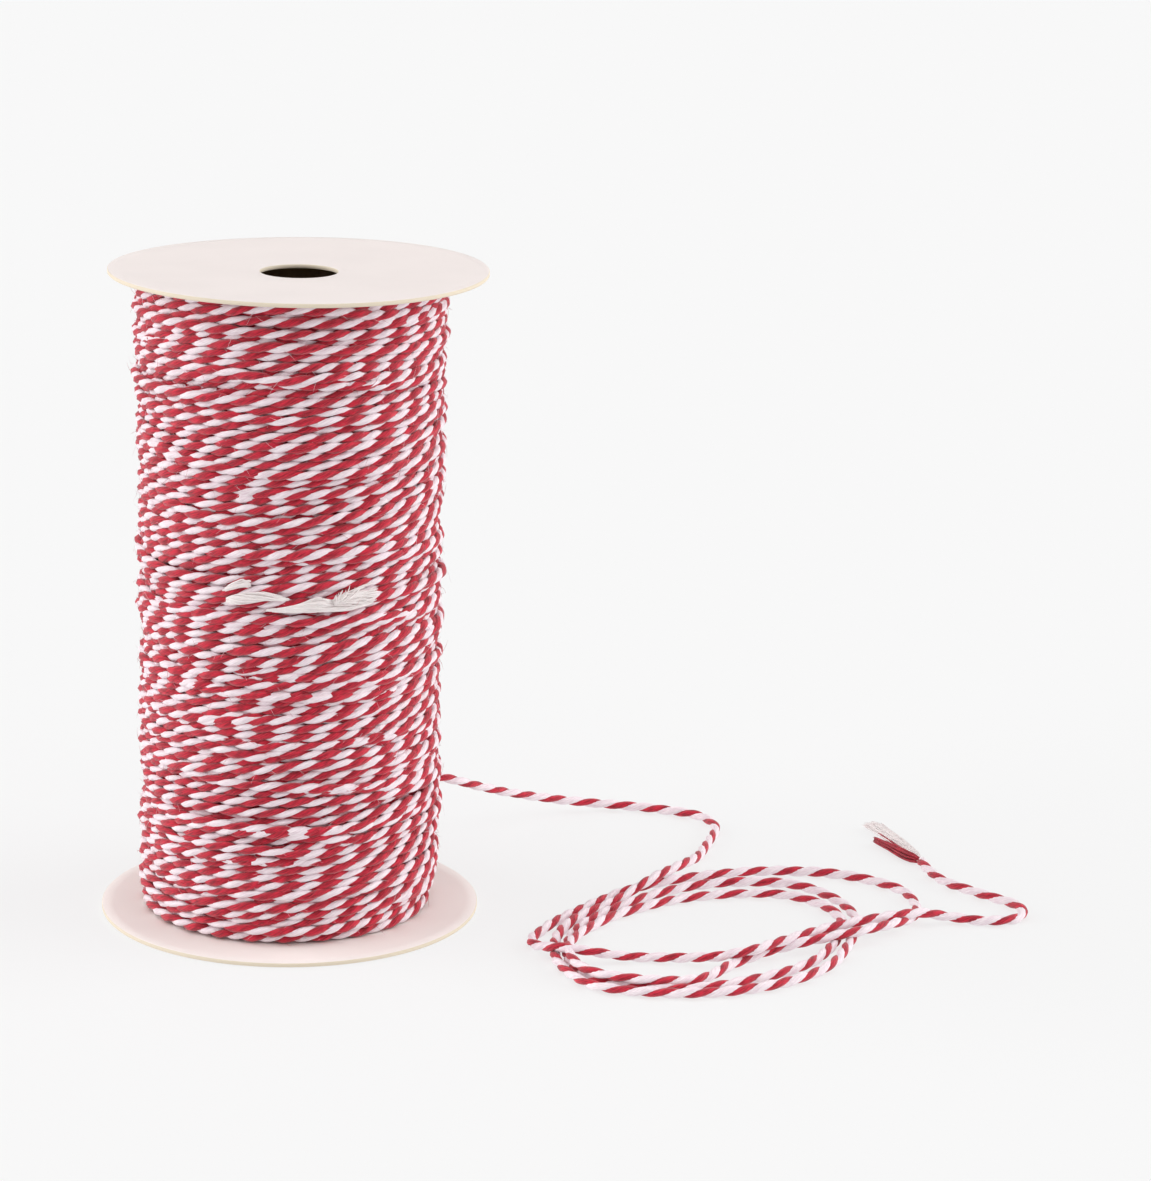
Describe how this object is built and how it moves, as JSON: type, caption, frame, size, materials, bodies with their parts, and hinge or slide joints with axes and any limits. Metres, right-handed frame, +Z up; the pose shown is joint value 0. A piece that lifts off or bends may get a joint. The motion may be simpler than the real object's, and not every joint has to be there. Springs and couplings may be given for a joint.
{
  "type": "spool of gift twine",
  "caption": "Card spool wound with red and white two-ply cotton twine, its loose end lying beside it in open loops with a frayed cut end.",
  "frame": {"origin": "centre of the lower disc's underside, on the surface that the spool stands on", "axes": "+Z up along the spool's axis, +X towards the loops of the loose end, the front at -Y"},
  "size_m": [0.1606, 0.0995, 0.1116],
  "materials": {
    "card": "uncoated off-white card with a cream cut edge",
    "core_board": "rolled grey-brown board",
    "twine": "red and white two-ply cotton, soft and matt",
    "cotton_white": "bleached cotton, soft and matt",
    "cotton_red": "dyed cotton, soft and matt"
  },
  "bodies": {
    "root": {"lower_disc": "card", "upper_disc": "card", "core_tube": "core_board", "winding": "twine", "loose_lead": "twine", "loose_coil": "twine", "loose_tail": "twine", "cut_end_white": "cotton_white", "cut_end_red": "cotton_red"}
  },
  "joints": []
}
